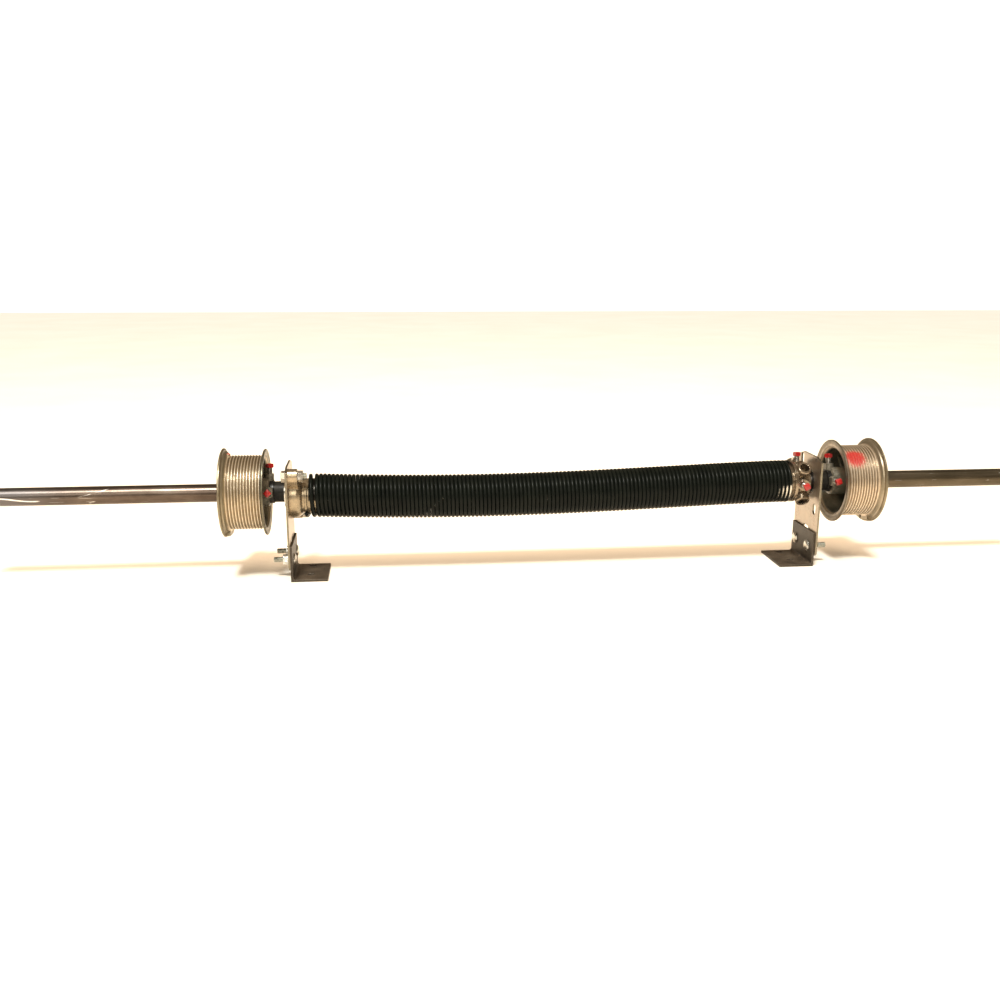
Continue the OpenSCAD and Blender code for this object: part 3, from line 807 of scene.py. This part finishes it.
def hex_bolts():
    b = Build()
    for pts in islands("stationary_cone_bolts"):
        y = (pts[:, 1].min() + pts[:, 1].max()) / 2
        z = (pts[:, 2].min() + pts[:, 2].max()) / 2
        x0, x1 = pts[:, 0].min(), pts[:, 0].max()
        place = aim((0, y, z), (1, 0, 0))
        v, f = prism_nut(14.3 * MM, x0, x0 + 6.2 * MM, chamfer1=False, turn=10)
        b.add(v, f, 2, place)
        v, f = thread(4.75 * MM, 0.8 * MM, 1.588 * MM, x0 + 6.2 * MM, x1)
        b.add(v, f, 1, place)
    ob = b.done("cone_bolts_fine", [zinc_bright, zinc_green, zinc_head])
    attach(ob, FRAME)
    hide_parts("stationary_cone_bolts")
    b = Build()
    for pts in islands("stationary_cone_nuts"):
        y = (pts[:, 1].min() + pts[:, 1].max()) / 2
        z = (pts[:, 2].min() + pts[:, 2].max()) / 2
        x0, x1 = pts[:, 0].min(), pts[:, 0].max()
        v, f = prism_nut(14.3 * MM, x0, x1, bore=4.8 * MM, turn=22)
        b.add(v, f, 0, aim((0, y, z), (1, 0, 0)))
    ob = b.done("cone_nuts_fine", [zinc_bright])
    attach(ob, FRAME)
    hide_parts("stationary_cone_nuts")


hex_bolts()


def foot_bolts(side):
    sign = 1 if side == "left" else -1          # towards the middle
    b = Build()
    for pts in islands(side + "_carriage_bolts"):
        y = (pts[:, 1].min() + pts[:, 1].max()) / 2
        z = (pts[:, 2].min() + pts[:, 2].max()) / 2
        xs = pts[:, 0] * sign
        inner, tail = xs.max(), xs.min()
        r_head = (pts[:, 1].max() - pts[:, 1].min()) / 2
        base = inner - 3.4 * MM             # underside of the head
        place = aim((0, y, z), (sign, 0, 0))
        t = (inner - base)
        dome = [(0, base)] + [(r_head * 0.985, base)] + [(r_head * math.cos(q), base + 0.0005 + (t - 0.0005) * math.sin(q)) for q in np.linspace(0.05, math.pi / 2 - 0.01, 9)] + [(0, inner)]
        v, f = lathe(dome, 40)
        b.add(v, f, 0, place)
        v, f = thread(3.95 * MM, 0.62 * MM, 1.27 * MM, -(base + 0.0), -tail)
        b.add(v, f, 1, place @ Matrix.Rotation(math.pi, 4, "X"))
    ob = b.done(side + "_carriage_bolts_fine", [zinc_bright, zinc_green])
    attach(ob, FRAME)
    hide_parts(side + "_carriage_bolts")


for side in ("left", "right"):
    foot_bolts(side)

# -------------------------------------------------------- stage and lights


def floor():
    n, half = 24, 7.0
    xs = np.linspace(-half, half, n)
    verts = [(x, y, 0.0) for y in xs for x in xs]
    faces = [(j * n + i, j * n + i + 1, (j + 1) * n + i + 1, (j + 1) * n + i) for j in range(n - 1) for i in range(n - 1)]
    M = Mat("pale_paper")
    base = M.ramp(M.noise(3.0, 3), (0.3, (0.86, 0.84, 0.77)), (0.7, (0.90, 0.88, 0.82)))
    M.set(Base_Color=base, Roughness=0.75)
    M.p.inputs["Specular IOR Level"].default_value = 0.2
    ob = mesh_piece("floor", verts, faces, None, [M.m])
    return ob


floor()


def sky():
    """A plain white surround far away that the camera sees and that lights nothing."""
    v, f = lathe([(0, -14.0)] + [(14.0 * math.sin(t), -14.0 * math.cos(t)) for t in np.linspace(0.1, math.pi - 0.1, 16)] + [(0, 14.0)], 48)
    m = bpy.data.materials.new("white_surround")
    m.use_nodes = True
    nt = m.node_tree
    nt.nodes.clear()
    e = nt.nodes.new("ShaderNodeEmission")
    e.inputs["Color"].default_value = (1, 1, 0.97, 1)
    e.inputs["Strength"].default_value = 1.15
    o = nt.nodes.new("ShaderNodeOutputMaterial")
    nt.links.new(e.outputs[0], o.inputs["Surface"])
    ob = mesh_piece("surround", v, f, 180, [m])
    ob.visible_diffuse = ob.visible_glossy = ob.visible_transmission = ob.visible_shadow = ob.visible_volume_scatter = False


sky()

world = bpy.data.worlds.new("room")
bpy.context.scene.world = world
world.use_nodes = True
bg = world.node_tree.nodes["Background"]
bg.inputs["Color"].default_value = (1.0, 0.76, 0.50, 1)
bg.inputs["Strength"].default_value = 0.22


def light(kind, name, loc, energy, colour, size=None, target=None, angle=None, size_y=None):
    d = bpy.data.lights.new(name, kind)
    d.energy = energy
    d.color = colour
    if size:
        d.shape = "RECTANGLE"
        d.size, d.size_y = size, size_y or size
    if angle is not None:
        d.angle = angle
    ob = bpy.data.objects.new(name, d)
    bpy.context.scene.collection.objects.link(ob)
    ob.location = loc
    t = Vector(target or (0, 0, H)) - Vector(loc)
    ob.rotation_mode = "QUATERNION"
    ob.rotation_quaternion = t.to_track_quat("-Z", "Y")
    return ob


light("SUN", "key", (-0.17, -0.50, 1.0), 3.5, (1.0, 0.97, 0.90), angle=math.radians(10), target=(0, 0, 0))
fill = light("AREA", "ceiling", (0.0, -0.3, 2.5), 118, (1.0, 0.72, 0.49), size=3.0, size_y=3.0, target=(0, 0, 0))
fill.visible_glossy = False
light("AREA", "front", (-0.9, -2.6, 1.5), 24, (1.0, 0.93, 0.82), size=1.6, size_y=0.8)

# ------------------------------------------------------------------- camera
cam_data = bpy.data.cameras.new("camera")
cam = bpy.data.objects.new("camera", cam_data)
bpy.context.scene.collection.objects.link(cam)
cam_data.sensor_fit = "HORIZONTAL"
cam_data.sensor_width = 36.0
cam_data.lens = 1028.41 * 36.0 / 1000.0
cam_data.clip_start, cam_data.clip_end = 0.05, 60
yaw, pitch, roll = 0.10622, 0.23377, 0.00296
fwd = Vector((math.sin(yaw) * math.cos(pitch), math.cos(yaw) * math.cos(pitch), -math.sin(pitch)))
rt = Vector((math.cos(yaw), -math.sin(yaw), 0))
up = rt.cross(fwd)
rt, up = rt * math.cos(roll) + up * math.sin(roll), up * math.cos(roll) - rt * math.sin(roll)
rot = Matrix((rt, up, -fwd)).transposed().to_4x4()
cam.matrix_world = Matrix.Translation(Vector((-0.1861, -1.4366, 0.44556))) @ rot
bpy.context.scene.camera = cam

scene = bpy.context.scene
scene.view_settings.view_transform = "Standard"
scene.view_settings.look = "None"
scene.view_settings.exposure = 0.0
scene.view_settings.gamma = 1.0
